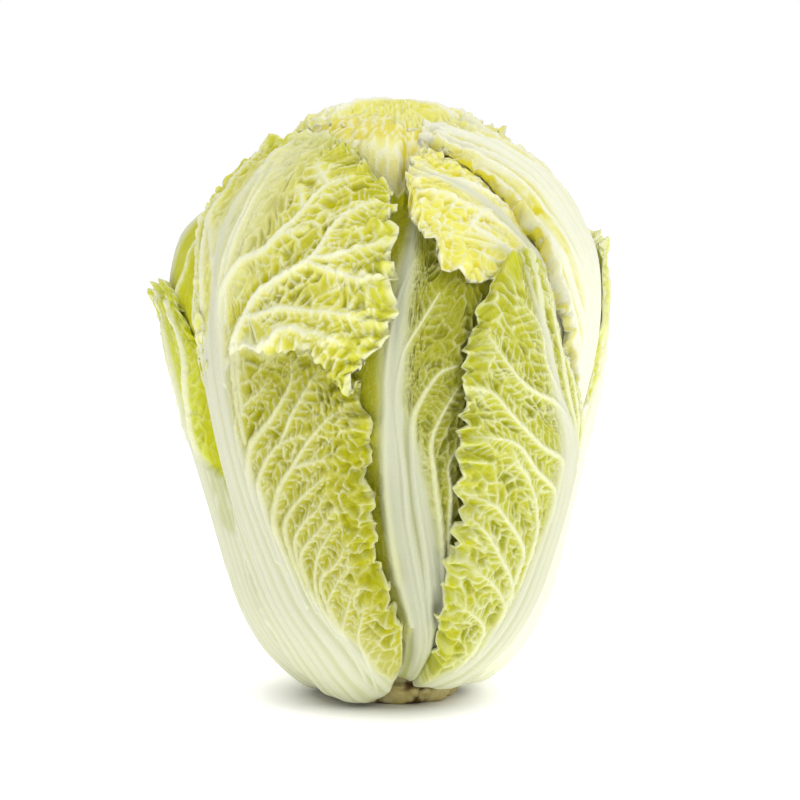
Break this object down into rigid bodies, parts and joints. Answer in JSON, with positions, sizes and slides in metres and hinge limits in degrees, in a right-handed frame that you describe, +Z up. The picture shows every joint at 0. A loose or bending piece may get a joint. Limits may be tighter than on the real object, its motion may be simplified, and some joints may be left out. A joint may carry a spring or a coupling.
{
  "type": "chinese cabbage",
  "caption": "Barrel-shaped head of chinese cabbage on its cut stem: crisp white-ribbed leaves with netted, ruffled blades close over a dense heart.",
  "frame": {"origin": "centre of the head's bounding box in plan, on the surface that the flat cut stem stands on", "axes": "+Z up along the head from the cut stem to the crown, -Y towards the pictured front, +X to the picture's right"},
  "size_m": [0.2038, 0.1902, 0.2654],
  "materials": {
    "cut_stem": "rough dry cut, tan with brown edges",
    "heart_leaf": "crisp pale yellow leaf, soft waxy sheen",
    "green_leaf": "crisp yellow-green blade with white ribs and pale raised veins, soft waxy sheen",
    "pale_leaf": "crisp cream-white leaf with yellow creases, soft waxy sheen"
  },
  "bodies": {
    "root": {"cut_stem": "cut_stem", "heart": "heart_leaf", "leaf_left_front": "green_leaf", "leaf_right_front": "green_leaf", "leaf_right_upper": "pale_leaf", "leaf_top_front": "pale_leaf", "leaf_centre": "green_leaf", "leaf_far_left": "green_leaf", "leaf_left_side": "green_leaf", "leaf_far_right": "pale_leaf", "leaf_back": "green_leaf"}
  },
  "joints": []
}
